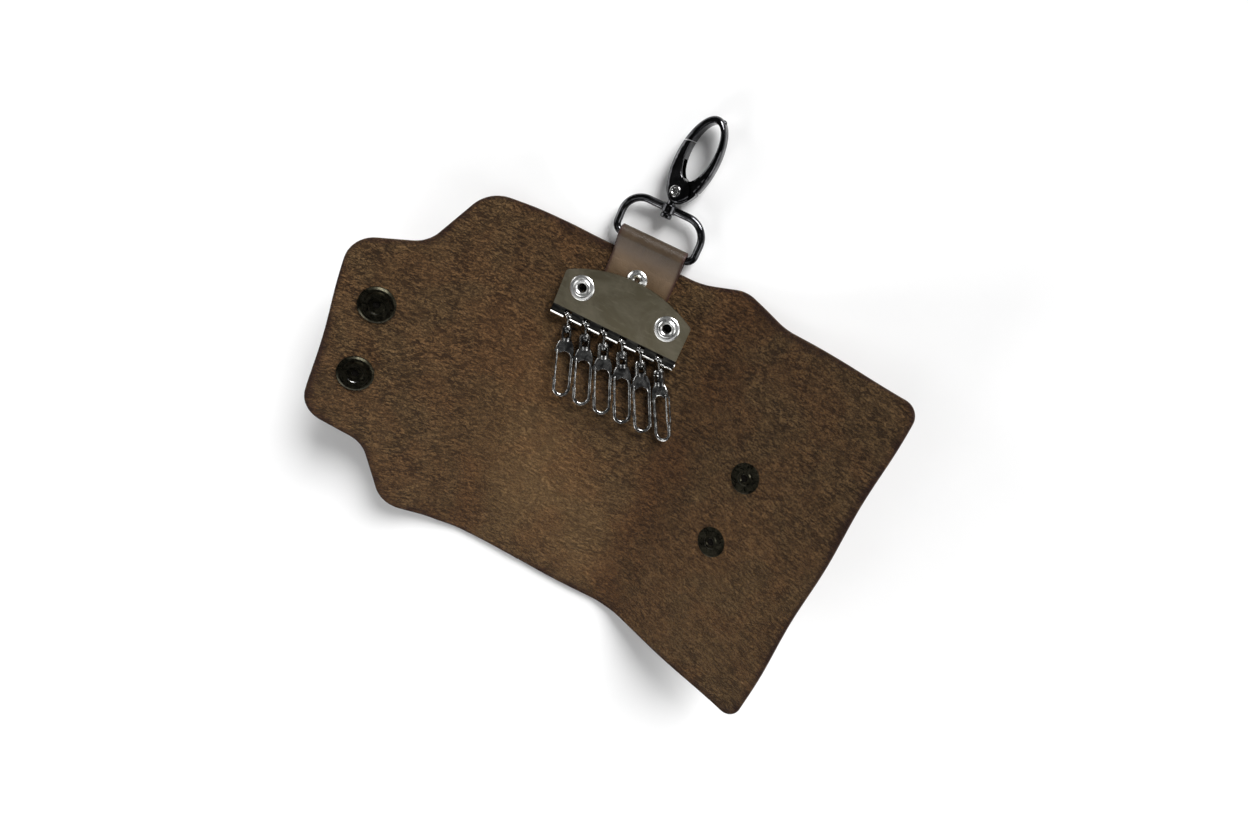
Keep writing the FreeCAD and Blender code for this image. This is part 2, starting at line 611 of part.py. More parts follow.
def make_clasp_hook():
    """Oval hook whose left side is a sprung gate, on a post that turns in the ring's collar."""
    deep = CLASP_THICKNESS
    web = deep - 2 * CLASP_CHEEK - 0.2
    px, py = CLASP_PIVOT
    outer_centre = (2.2, CLASP_LENGTH / 2 - 0.3)
    window_centre = (2.9, 16.6)
    tip_reach = 15.1
    sweep = CLASP_DISC + 1.2

    def outer(depth):
        return oval(outer_centre, CLASP_WIDTH / 2, CLASP_LENGTH / 2, depth)

    def window(depth):
        return oval(window_centre, 4.2, 9.2, depth)

    def disc(radius, depth):
        return cylinder(radius, vec(px, py, -depth / 2), Z_AXIS, depth)

    # the frame of the oval with softened rims
    rim = softened(outer(deep), 1.3, on_levels([-deep / 2, deep / 2]))
    opening = window(deep + 2)
    frame = rim.cut(opening)
    frame = softened(frame, 0.5, lambda edge: edge.BoundBox.YMax < 26.5 and edge.BoundBox.YMin > 6.5
                     and edge.BoundBox.YLength > 10 and edge.BoundBox.ZLength < 0.01)
    left_side = box(-12, 2.0, -2, py + tip_reach + 1, -deep, deep)

    # the fixed hook: the right arm and top, a thin web at the foot, the post and its knob
    arm = frame.cut(left_side.common(disc(tip_reach + CLASP_GAP, 2 * deep)))
    arm = arm.cut(disc(sweep + 0.15, deep + 2)).cut(box(-12, 12, -2, py + 2, -deep, deep))
    foot = outer(web).common(disc(CLASP_DISC, web))
    bridge = outer(web).common(disc(sweep + 0.6, web)).common(box(1.5, 12, -2, 9, -deep, deep))
    foot = foot.fuse(bridge).cut(opening)
    post_start = vec(0, 0.8, 0)
    collar_foot = RING_TOP_Y - COLLAR_LENGTH / 2 - CLASP_Y
    post = cylinder(POST_RADIUS, post_start, -Y_AXIS, post_start.y - collar_foot + 0.4)
    knob = cylinder(1.85, vec(0, collar_foot - 0.15), -Y_AXIS, 1.5)
    knob = knob.makeFillet(0.4, [edge for edge in knob.Edges if len(edge.Vertexes) == 1])
    bump = Part.makeSphere(0.9, vec(5.2, CLASP_LENGTH - 1.5, 0))
    hook = arm.fuse([foot, post, knob, bump])
    hook = hook.cut(disc(PIN_RADIUS, deep + 2))
    export("clasp_hook", place_clasp(hook))

    # the gate: the left side, hollow behind, with two cheeks on the pin
    gate_side = frame.common(left_side.common(disc(tip_reach, 2 * deep)))
    lever = gate_side.cut(disc(CLASP_DISC + 0.15, deep + 2))
    lever = lever.cut(box(-12, 12, -2, py, -deep, deep))
    channel_top = 13.0
    channel = box(-3.3, 3, py, channel_top, -web / 2 - 0.1, web / 2 + 0.1)
    near = rim.common(disc(CLASP_DISC, deep + 2)).cut(box(-9, 9, -2, 12, -web / 2 - 0.1, web / 2 + 0.1))
    near = near.cut(opening)
    link = gate_side.common(disc(sweep, deep + 2))
    link = link.cut(box(-12, 12, -2, py + 0.5, -deep, deep))
    link = link.cut(box(-9, 9, -2, 12, -web / 2 - 0.1, web / 2 + 0.1))
    gate = lever.cut(channel).fuse([near, link])
    gate = gate.cut(disc(PIN_RADIUS + 0.06, deep + 2))
    export("clasp_gate", place_clasp(gate))

    pin = disc(PIN_RADIUS, deep + 0.2)
    head = [(0, 0), (1.75, 0), (1.75, 0.15), (1.5, 0.35), (1.1, 0.35), (0.85, 0.12), (0, 0.12)]
    heads = [revolved(head, vec(px, py, sign * (deep / 2 + 0.02)), Z_AXIS * sign) for sign in (-1, 1)]
    export("clasp_gate_pin", place_clasp(pin.fuse(heads)))

    spring_x = -2.75
    leaf = box(spring_x, spring_x + 0.25, py + 3.46, channel_top - 0.4, -0.9, 0.9)
    export("clasp_gate_spring", place_clasp(leaf))


# ---------------------------------------------------------------- build

os.makedirs("parts", exist_ok=True)
make_leather()
make_snaps()
make_strap()
make_rivets()
make_plate()
make_hooks()
make_ring()
make_clasp_hook()
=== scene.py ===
import json
import math

import bmesh
import bpy
import numpy as np
from mathutils import Matrix, Vector


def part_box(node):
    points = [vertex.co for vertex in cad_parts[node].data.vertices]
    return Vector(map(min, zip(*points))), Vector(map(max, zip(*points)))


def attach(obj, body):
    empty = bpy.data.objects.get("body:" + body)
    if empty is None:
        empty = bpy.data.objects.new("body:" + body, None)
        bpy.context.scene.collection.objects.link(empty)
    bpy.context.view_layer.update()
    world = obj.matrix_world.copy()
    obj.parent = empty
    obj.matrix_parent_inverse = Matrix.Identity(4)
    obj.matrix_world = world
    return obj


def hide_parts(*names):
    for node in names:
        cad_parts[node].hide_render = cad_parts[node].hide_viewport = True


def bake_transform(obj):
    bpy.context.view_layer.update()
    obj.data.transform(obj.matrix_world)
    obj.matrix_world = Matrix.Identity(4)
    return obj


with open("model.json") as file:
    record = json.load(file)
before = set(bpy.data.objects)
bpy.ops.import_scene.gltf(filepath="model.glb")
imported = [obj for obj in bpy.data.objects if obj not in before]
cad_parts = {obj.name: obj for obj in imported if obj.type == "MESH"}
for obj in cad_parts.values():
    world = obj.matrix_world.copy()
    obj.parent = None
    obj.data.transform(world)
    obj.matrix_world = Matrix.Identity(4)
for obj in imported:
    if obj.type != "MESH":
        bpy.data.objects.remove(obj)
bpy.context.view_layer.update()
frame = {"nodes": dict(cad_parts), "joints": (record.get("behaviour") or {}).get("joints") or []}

# ---------------------------------------------------------------- sizes, in metres

MM = 0.001
THICK = 1.8 * MM                 # case leather
EDGE_ROUND = 0.75 * MM           # how far in the burnished edge is rounded
EDGE_POWER = 2.6                 # how square the rounding is
CELL = 1.25 * MM                 # grid step of the leather meshes
BEND_HALF = 3.6 * MM             # half of the width over which a fold bends

# corners of the flat leather: along the case from the plate's middle, half height, rounding
RIGHT_CORNER = 5.0 * MM
SHOULDER = (55.4 * MM, 12.0 * MM)
SHOULDER_FOOT = (68.4 * MM, 38.0 * MM, 12.0 * MM)
TAB_HALF = 31.5 * MM
TAB_ROUND = 10.0 * MM
SWELL_RIGHT = (50.0 * MM, 25.0 * MM)
SWELL_PEAK = (33.0 * MM, 65.2 * MM, 11.0 * MM)
SWELL_LEFT = (19.0 * MM, 25.0 * MM)

RIM_INSETS = [0.0, 0.02 * MM, 0.08 * MM, 0.2 * MM, 0.42 * MM, EDGE_ROUND]
STRAP_LAYER = 1.2 * MM
STRAP_EDGE = 0.28 * MM
STRAP_EASE = 3.2 * MM            # how far the strap's bend towards the ring is eased

STRAP_EASE_TURNS = 24
STRAP_PAST_CASE = 0.4 * MM       # where the strap starts to bend, past the case's edge
STRAP_INSET = 0.02 * MM          # how far each face lies inside its layer
STRAP_CUTS = 34                  # steps along each straight run of the strap
STRAP_ARC_CUTS = 40              # steps round the ring's bar
STRAP_ROUND_CUTS = 4             # steps round each cut edge
STRAP_ACROSS = 30                # points across the strap
STRAP_RIM_FADE = (0.3 * MM, 1.3 * MM)
STRAP_BEND_SHADE = (0.6 * MM, 4.4 * MM)              # painted shade over the bend: place past the bar, width
STRAP_PAINTED_HIGHLIGHT = (9.5 * MM, 3.4 * MM, 0.45)      # painted highlight band: place past the bar, width, amount

SAME_PLACE = 1e-7                # points closer than this are one point
ON_RIM = 1e-6                    # points closer than this to the outline lie on it
# width of the painted shade along each fold
FOLD_SHADE_WIDTH = 5.8 * MM
FOLD_SHADE_SHARE = {1: (0.75, 0.60), -1: (0.55, 0.50)}     # strength of the painted shade at the inner and outer fold of the right, the left side
SOCKET_HOLE = 3.4 * MM           # radius of the leather that shows through a snap socket, painted dark as the shade in the hole
SMALL_HOLE = 2.2 * MM            # the same for eyelets and plate rivets
HOLE_BLUR = 0.6 * MM

JOINTS = {joint["name"]: joint for joint in frame["joints"]}
NODES = frame["nodes"]


# ---------------------------------------------------------------- shader helpers

class Shader:
    """Builds one node material; place() adds a node and sets its inputs and properties."""

    def __init__(self, name):
        self.material = bpy.data.materials.new(name)
        self.material.use_nodes = True
        self.tree = self.material.node_tree
        self.bsdf = self.tree.nodes["Principled BSDF"]

    def place(self, kind, inputs=None, **properties):
        node = self.tree.nodes.new("ShaderNode" + kind)
        for key, value in properties.items():
            setattr(node, key, value)
        for key, value in (inputs or {}).items():
            self.connect(value, node.inputs[key])
        return node

    def connect(self, value, socket):
        if isinstance(value, bpy.types.NodeSocket):
            self.tree.links.new(value, socket)
        else:
            socket.default_value = value

    def surface(self, **inputs):
        for key, value in inputs.items():
            self.connect(value, self.bsdf.inputs[key.replace("_", " ")])

    def ramp(self, factor, stops):
        node = self.place("ValToRGB", {"Fac": factor})
        elements = node.color_ramp.elements
        while len(elements) < len(stops):
            elements.new(0.5)
        for element, (position, colour) in zip(elements, stops):
            element.position = position
            element.color = colour if len(colour) == 4 else (*colour, 1.0)
        return node.outputs["Color"]

    def fade(self, factor, low, high, start=0.0, end=1.0):
        node = self.place("MapRange", {"Value": factor, "From Min": low, "From Max": high,
                                       "To Min": start, "To Max": end}, interpolation_type="SMOOTHSTEP")
        return node.outputs["Result"]

    def mix(self, factor, first, second, blend_type="MIX"):
        node = self.place("Mix", data_type="RGBA", blend_type=blend_type)
        self.connect(factor, node.inputs[0])
        self.connect(first, node.inputs[6])
        self.connect(second, node.inputs[7])
        return node.outputs[2]

    def maths(self, operation, first, second=0.0):
        node = self.place("Math", operation=operation)
        self.connect(first, node.inputs[0])
        self.connect(second, node.inputs[1])
        return node.outputs[0]

    def noise(self, where, scale, detail=4.0, roughness=0.55, distortion=0.0):
        node = self.place("TexNoise", {"Vector": where, "Scale": scale, "Detail": detail,
                                       "Roughness": roughness, "Distortion": distortion})
        return node.outputs["Fac"]

    def cells(self, where, scale):
        node = self.place("TexVoronoi", {"Vector": where, "Scale": scale}, feature="DISTANCE_TO_EDGE")
        return node.outputs["Distance"]

    def stretched(self, where, x, y, z, turn=0.0):
        node = self.place("Mapping", {"Vector": where, "Scale": (x, y, z), "Rotation": (0.0, 0.0, turn)})
        return node.outputs["Vector"]

    def bump(self, height, distance, strength=1.0, normal=None):
        inputs = {"Height": height, "Distance": distance, "Strength": strength}
        if normal is not None:
            inputs["Normal"] = normal
        return self.place("Bump", inputs).outputs["Normal"]

    def attribute(self, name):
        return self.place("Attribute", attribute_type="GEOMETRY", attribute_name=name)

    def object_place(self):
        return self.place("TexCoord").outputs["Object"]


# ---------------------------------------------------------------- materials

def suede_material():
    """Flesh side up: a short brown nap; the underside is smooth and the cut edge is burnished. Painted
    shade darkens the nap's pits, the folds and the leather in snap and rivet holes; painted light pales
    some patches.
    """
    s = Shader("suede")
    where = s.attribute("rest_place").outputs["Vector"]
    side = s.attribute("suede_side").outputs["Fac"]
    edge = s.attribute("edge_share").outputs["Fac"]
    fold_shade = s.attribute("fold_shade_share").outputs["Fac"]
    painted_light = s.attribute("painted_light_share").outputs["Fac"]
    hole_shade = s.attribute("hole_shade_share").outputs["Fac"]

    blotches = s.noise(where, 48.0, 4.0, 0.55, 0.6)
    clumps = s.noise(s.stretched(where, 0.6, 1.0, 1.0, 0.15), 280.0, 4.0, 0.6, 0.8)
    strokes = s.noise(s.stretched(where, 0.38, 1.0, 1.0, 0.12), 1000.0, 3.0, 0.6, 0.9)
    crossed = s.noise(s.stretched(where, 0.40, 1.0, 1.0, -0.35), 1300.0, 3.0, 0.6, 0.8)
    fibres = s.noise(s.stretched(where, 0.6, 1.0, 1.0, 0.3), 2600.0, 3.0, 0.7, 0.5)

    base = s.mix(s.fade(clumps, 0.36, 0.64), (0.098, 0.056, 0.024, 1.0), (0.122, 0.071, 0.031, 1.0))
    grains = s.mix(s.fade(fibres, 0.38, 0.64), (0.50, 0.48, 0.46, 1.0), (1.62, 1.64, 1.64, 1.0))
    base = s.mix(1.0, base, grains, "MULTIPLY")
    calm = s.fade(s.noise(where, 150.0, 3.0, 0.5), 0.40, 0.58, 0.6, 1.0)
    long_pits = s.fade(strokes, 0.430, 0.478, 1.0, 0.0)
    short_pits = s.fade(crossed, 0.400, 0.445, 1.0, 0.0)
    # the painted shade of the pits fades under the painted light of the pale patches
    smoother = s.maths("SUBTRACT", 1.0, s.maths("MULTIPLY", painted_light, 0.4))
    pits = s.maths("MAXIMUM", long_pits, short_pits)
    pits = s.maths("MULTIPLY", pits, s.maths("MULTIPLY", calm, smoother))
    # painted shade: the nap's pits are darkened as if shadowed under the clumps
    base = s.mix(s.maths("MULTIPLY", pits, 0.85), base, (0.024, 0.0115, 0.0045, 1.0))
    # painted light: the pale patches are evened towards a mid brown and lightened
    soft = s.mix(s.maths("MULTIPLY", painted_light, 0.30), base, (0.100, 0.060, 0.029, 1.0))
    reddish = s.mix(1.0, soft, (1.14, 0.90, 0.80, 1.0), "MULTIPLY")
    warm = s.mix(s.fade(blotches, 0.40, 0.62, 0.0, 0.40), soft, reddish)
    light = s.mix(painted_light, warm, s.mix(1.0, warm, (1.62, 1.62, 1.56, 1.0), "MULTIPLY"))
    # painted shade along the folds, darker and reddish
    fold_shade_tint = s.mix(1.0, light, (0.70, 0.52, 0.42, 1.0), "MULTIPLY")
    fold_shaded = s.mix(s.maths("MULTIPLY", fold_shade, 0.5), light, fold_shade_tint)
    rim = s.noise(where, 150.0, 4.0, 0.6)
    rim_share = s.maths("MULTIPLY", edge, s.fade(rim, 0.30, 0.60, 0.45, 1.0))
    nap = s.mix(s.maths("MULTIPLY", rim_share, 0.9), fold_shaded, (0.022, 0.0075, 0.006, 1.0))
    # painted shade: near black where the leather shows through snap and rivet holes
    nap = s.mix(hole_shade, nap, (0.002, 0.0015, 0.001, 1.0))

    cells = s.cells(where, 900.0)
    patches = s.noise(where, 90.0, 5.0, 0.6)
    grain = s.ramp(patches, [(0.35, (0.040, 0.022, 0.013)), (0.65, (0.078, 0.046, 0.028))])
    colour = s.mix(side, grain, nap)

    stroke_bump = s.bump(strokes, 0.0020, s.maths("MULTIPLY", side, 0.95))
    crossed_bump = s.bump(crossed, 0.0010, s.maths("MULTIPLY", side, 0.8), stroke_bump)
    clump_bump = s.bump(clumps, 0.0026, s.maths("MULTIPLY", side, 0.6), crossed_bump)
    pit_bump = s.bump(pits, -0.0003, s.maths("MULTIPLY", side, 0.8), clump_bump)
    fibre_bump = s.bump(fibres, 0.0004, s.maths("MULTIPLY", side, 0.7), pit_bump)
    normal = s.bump(s.fade(cells, 0.0, 0.25), 0.00006, s.maths("SUBTRACT", 1.0, side), fibre_bump)

    roughness = s.mix(side, (0.5, 0.5, 0.5, 1.0), s.fade(fibres, 0.3, 0.7, 0.88, 0.98))
    s.surface(Base_Color=colour, Roughness=roughness, Normal=normal, Specular_IOR_Level=0.18)
    s.surface(Sheen_Weight=0.08, Sheen_Roughness=0.5, Sheen_Tint=(0.80, 0.66, 0.50, 1.0))
    return s.material


def strap_material():
    """Smooth grain leather with a soft shine, faint wrinkles and reddish cut edges; painted shade over the
    bend round the bar and a painted highlight band just past it.
    """
    s = Shader("grain leather")
    where = s.attribute("rest_place").outputs["Vector"]
    edge = s.attribute("edge_share").outputs["Fac"]
    cells = s.cells(where, 1500.0)
    clouds = s.noise(where, 110.0, 5.0, 0.6, 0.5)
    wrinkles = s.noise(s.stretched(where, 1.0, 0.22, 1.0), 420.0, 4.0, 0.55, 0.8)
    body = s.ramp(clouds, [
        (0.30, (0.084, 0.053, 0.028)), (0.52, (0.116, 0.074, 0.040)), (0.74, (0.155, 0.102, 0.058)),
    ])
    toned = s.mix(s.fade(wrinkles, 0.50, 0.72, 0.0, 0.35), body, (0.058, 0.037, 0.025, 1.0))
    bend_shade = s.attribute("bend_shade_share").outputs["Fac"]
    painted_highlight = s.attribute("painted_highlight_share").outputs["Fac"]
    # painted shade over the bend round the bar
    toned = s.mix(s.maths("MULTIPLY", bend_shade, 0.85), toned, (0.026, 0.017, 0.010, 1.0))
    # painted highlight band just past the bend
    toned = s.mix(painted_highlight, toned, (0.27, 0.195, 0.135, 1.0))
    colour = s.mix(s.maths("MULTIPLY", edge, 0.9), toned, (0.036, 0.012, 0.009, 1.0))
    coarse = s.bump(wrinkles, 0.00022, 0.55)
    normal = s.bump(s.fade(cells, 0.0, 0.22), 0.00005, 0.8, coarse)
    s.surface(Base_Color=colour, Roughness=s.fade(clouds, 0.3, 0.7, 0.38, 0.50), Normal=normal,
              Specular_IOR_Level=0.32, Coat_Weight=0.10, Coat_Roughness=0.25)
    return s.material


def plate_material():
    """Dull olive-grey plate with faint clouds; its rolled barrel is polished with a painted dark
    reflection, its lip bright with a painted highlight.
    """
    s = Shader("dull nickel")
    where = s.object_place()
    across = s.place("SeparateXYZ", {"Vector": where}).outputs["Y"]
    low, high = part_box("key_rod")
    barrel = s.fade(across, high.y + 0.0012, high.y + 0.0015, 1.0, 0.0)
    lip = s.fade(across, low.y - 0.0002, low.y + 0.0002, 1.0, 0.0)
    clouds = s.noise(where, 75.0, 5.0, 0.6, 0.8)
    flat = s.mix(s.fade(clouds, 0.34, 0.66), (0.135, 0.118, 0.078, 1.0), (0.235, 0.210, 0.150, 1.0))
    rubbed = s.noise(s.stretched(where, 0.25, 1.0, 1.0), 900.0, 4.0, 0.65)
    flat = s.mix(s.fade(rubbed, 0.52, 0.70, 0.0, 0.4), flat, (0.30, 0.27, 0.20, 1.0))
    streaks = s.fade(s.noise(s.stretched(where, 0.15, 1.0, 1.0), 1300.0, 3.0, 0.6), 0.40, 0.66)
    # painted reflection: the barrel dark with streaks, and a painted highlight along its lip
    rolled = s.mix(streaks, (0.008, 0.008, 0.008, 1.0), (0.030, 0.029, 0.026, 1.0))
    rolled = s.mix(lip, rolled, (0.78, 0.77, 0.74, 1.0))
    colour = s.mix(barrel, flat, rolled)
    fine = s.noise(s.stretched(where, 0.05, 1.0, 1.0), 5200.0, 3.0, 0.6)
    roughness = s.mix(barrel, s.fade(clouds, 0.3, 0.7, 0.28, 0.42), (0.15, 0.15, 0.15, 1.0))
    s.surface(Base_Color=colour, Metallic=1.0, Roughness=roughness, Normal=s.bump(fine, 0.00002, 0.5))
    return s.material


def metal_material(name, dark, light, rough, scratch=0.0, cloud_scale=220.0, toned=None, waves=0.0):
    """Plated or raw metal: cloudy colour, scratches, smudges in the shine; optional tint of rubbed wear,
    and waves.
    """
    s = Shader(name)
    where = s.object_place()
    clouds = s.noise(where, cloud_scale, 5.0, 0.62, 0.5)
    colour = s.mix(s.fade(clouds, 0.34, 0.68), (*dark, 1.0), (*light, 1.0))
    if toned is not None:
        rubbed = s.fade(s.noise(where, cloud_scale * 5.5, 4.0, 0.65, 0.3), 0.50, 0.70, 0.0, 0.75)
        colour = s.mix(rubbed, colour, (*toned, 1.0))
    smudges = s.noise(where, cloud_scale * 0.6, 4.0, 0.6, 0.8)
    roughness = s.fade(smudges, 0.30, 0.72, rough[0], rough[1])
    scratches = s.noise(s.stretched(where, 1.0, 0.12, 1.0, 0.6), 2600.0, 3.0, 0.6)
    normal = s.bump(scratches, 0.00002, scratch)
    if waves:
        normal = s.bump(s.noise(where, 420.0, 2.0, 0.5), 0.0006, waves, normal)
    s.surface(Base_Color=colour, Metallic=1.0, Roughness=roughness, Normal=normal)
    return s.material


def floor_material():
    s = Shader("studio floor")
    speckle = s.noise(s.object_place(), 60.0, 2.0, 0.5)
    s.surface(Base_Color=s.mix(speckle, (0.91, 0.91, 0.91, 1.0), (0.93, 0.93, 0.93, 1.0)), Roughness=0.95,
              Specular_IOR_Level=0.1)
    return s.material


# ---------------------------------------------------------------- mesh helpers

def rounded_corner(before, corner, after, radius, steps=10):
    """Points of the arc that rounds a corner, in walking order."""
    here = Vector(corner)
    back = (Vector(before) - here).normalized()
    ahead = (Vector(after) - here).normalized()
    half = back.angle(ahead) / 2
    middle = (back + ahead).normalized()
    centre = here + middle * (radius / math.sin(half))
    first = here + back * (radius / math.tan(half)) - centre
    last = here + ahead * (radius / math.tan(half)) - centre
    sweep = first.angle_signed(last)
    return [centre + Matrix.Rotation(-sweep * k / steps, 2) @ first for k in range(steps + 1)]


def rounded_loop(corners):
    """Closed outline through (x, y, radius) corners; a corner with no radius stays sharp."""
    loop = []
    for i, (x, y, radius) in enumerate(corners):
        before = corners[i - 1][:2]
        after = corners[(i + 1) % len(corners)][:2]
        loop += rounded_corner(before, (x, y), after, radius) if radius else [Vector((x, y))]
    return loop


def on_seam(point, seams):
    return any(abs(point[0] - seam) < SAME_PLACE for seam in seams)


def seam_side(a, b, seams):
    """Whether the side from a to b lies along one seam."""
    return on_seam(a, seams) and on_seam(b, seams) and abs(a[0] - b[0]) < SAME_PLACE


def inset_loop(loop, seams, inset):
    """The outline moved inwards; points on a seam only slide along it."""
    moved = []
    count = len(loop)
    for i, point in enumerate(loop):
        before = loop[i - 1]
        after = loop[(i + 1) % count]
        if on_seam(point, seams):
            moved.append(Vector((point.x, point.y - math.copysign(inset, point.y))))
            continue
        first = (point - before).normalized()
        second = (after - point).normalized()
        along = (first + second).normalized()
        moved.append(point + Vector((-along.y, along.x)) * inset)
    return moved


def flat_mesh(loop, seams):
    """Flat mesh of an outline: thin rings that follow the rim, and a fine grid over everything."""
    bm = bmesh.new()
    rings = [[bm.verts.new((*p, 0.0)) for p in inset_loop(loop, seams, inset)] for inset in RIM_INSETS]
    count = len(loop)
    for outer, inner in zip(rings, rings[1:]):
        for i in range(count):
            j = (i + 1) % count
            if not seam_side(loop[i], loop[j], seams):
                bm.faces.new([outer[i], outer[j], inner[j], inner[i]])
    bm.faces.new(rings[-1])
    for axis in (0, 1):
        low = min(p[axis] for p in loop)
        high = max(p[axis] for p in loop)
        cuts = int((high - low) / CELL)
        normal = Vector((1, 0, 0)) if axis == 0 else Vector((0, 1, 0))
        for k in range(1, cuts):
            point = normal * (low + (high - low) * k / cuts)
            bmesh.ops.bisect_plane(bm, geom=bm.verts[:] + bm.edges[:] + bm.faces[:], dist=SAME_PLACE,
                                   plane_co=point, plane_no=normal)
    bm.verts.index_update()
    points = np.array([v.co[:2] for v in bm.verts])
    faces = [[v.index for v in face.verts] for face in bm.faces]
    bm.free()
    return points, faces


def rim_distance(points, loop, seams):
    """Distance of each point from the real outline; sides that lie on a seam don't count."""
    nearest = np.full(len(points), 1.0)
    for i in range(len(loop)):
        a = np.array(loop[i])
        b = np.array(loop[(i + 1) % len(loop)])
        if seam_side(a, b, seams):
            continue
        along = b - a
        share = np.clip(((points - a) @ along) / max(float(along @ along), 1e-14), 0.0, 1.0)
        gap = np.linalg.norm(points - (a + share[:, None] * along), axis=1)
        nearest = np.minimum(nearest, gap)
    return nearest


def make_object(name, verts, faces, material):
    mesh = bpy.data.meshes.new(name)
    mesh.from_pydata([tuple(v) for v in verts], [], faces)
    mesh.validate()
    mesh.materials.append(material)
    mesh.polygons.foreach_set("use_smooth", [True] * len(mesh.polygons))
    obj = bpy.data.objects.new(name, mesh)
    bpy.context.scene.collection.objects.link(obj)
    return obj


def store(obj, name, kind, values):
    attribute = obj.data.attributes.new(name, kind, "POINT")
    field = "vector" if kind == "FLOAT_VECTOR" else "value"
    attribute.data.foreach_set(field, np.asarray(values, np.float32).ravel())


def smoothstep(low, high, value):
    share = np.clip((value - low) / (high - low), 0.0, 1.0)
    return share * share * (3 - 2 * share)


# ---------------------------------------------------------------- leather case

class Side:
    """One side of the case: how the flat leather runs over its two folds, outwards from the middle."""

    def __init__(self, sign, word):
        self.sign = sign
        inner = Vector(JOINTS[word + "_inner_fold"]["pos_m"])
        outer = Vector(JOINTS[word + "_outer_fold"]["pos_m"])
        step = outer - inner
        self.rest = math.atan2(step.z, abs(step.x))
        self.base = inner.z
        self.inner = abs(inner.x)
        self.outer = self.inner + step.length
        self.seam = (self.inner + self.outer) / 2
        low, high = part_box("leather_" + word + "_flap")
        reach = high.x if sign > 0 else -low.x
        total = 2 * self.rest
        run = reach - abs(outer.x) - THICK / 2 * math.sin(total)
        self.end = self.outer + run / math.cos(total)
        self.half_height = -low.y
        self.along = np.arange(0.0, self.end + 0.002, 0.00005)
        self.angle = self.rest * (
            smoothstep(self.inner - BEND_HALF, self.inner + BEND_HALF, self.along)
            + smoothstep(self.outer - BEND_HALF, self.outer + BEND_HALF, self.along))
        step = self.along[1] - self.along[0]
        self.run = np.concatenate([[0.0], np.cumsum(np.cos(self.angle[:-1]) * step)])
        self.rise = np.concatenate([[0.0], np.cumsum(np.sin(self.angle[:-1]) * step)])

    def place(self, u, v, height):
        """Points in space for flat places (u along, v across) at a height above the leather's middle."""
        out = np.abs(u)
        angle = np.interp(out, self.along, self.angle)
        x = np.interp(out, self.along, self.run) - height * np.sin(angle)
        z = np.interp(out, self.along, self.rise) + height * np.cos(angle) + self.base
        return np.stack([self.sign * x, v, z], axis=1)


def ripple(side, u, v):
    """Gentle unevenness of the leather, none where metal parts sit on it."""
    out = np.abs(u)
    wave = 0.45 * np.sin(out / 0.0125 + 1.3 * side.sign) * np.cos(v / 0.017 + 0.7)
    wave += 0.30 * np.sin(v / 0.0095 + out / 0.021)
    free = smoothstep(side.outer + 0.004, side.end, out)
    for x, y in SNAP_SPOTS[side.sign]:
        free = free * smoothstep(0.008, 0.018, np.hypot(out - x, v - y))
    lower = smoothstep(0.004, 0.022, -v) * smoothstep(0.0, 0.012, side.inner - out) * 0.5
    return (free + lower) * wave * 0.00045


def outline_drift(side, u, v):
    """The hand-cut outline wanders by a few tenths of a millimetre."""
    out = np.abs(u)
    reach = smoothstep(0.030, 0.058, np.abs(v))
    drift_v = 0.00028 * np.sin(u / 0.0083) * reach * np.sign(v) - 0.0003 * reach * np.sign(v)
    tip = smoothstep(side.outer + 0.012, side.end, out)
    drift_u = (0.0003 * np.sin(v / 0.0071 + side.sign) - 0.0003) * tip * side.sign
    return drift_u, drift_v


def shares(side, u, v):
    """How much painted shade lies along the folds and how much painted light lies on the suede at each flat
    place.
    """
    out = np.abs(u)
    inner = np.exp(-((out - side.inner) / FOLD_SHADE_WIDTH) ** 2)
    outer = np.exp(-((out - side.outer) / FOLD_SHADE_WIDTH) ** 2)
    strength = FOLD_SHADE_SHARE[side.sign]
    fold_shade = inner * strength[0] + outer * strength[1]
    painted_light = np.zeros(len(u))
    for x, y, wide, high, amount in PAINTED_LIGHT_SPOTS:
        painted_light += amount * np.exp(-((u - x) / wide) ** 2 - ((v - y) / high) ** 2)
    return fold_shade, np.clip(painted_light, 0.0, 1.0)


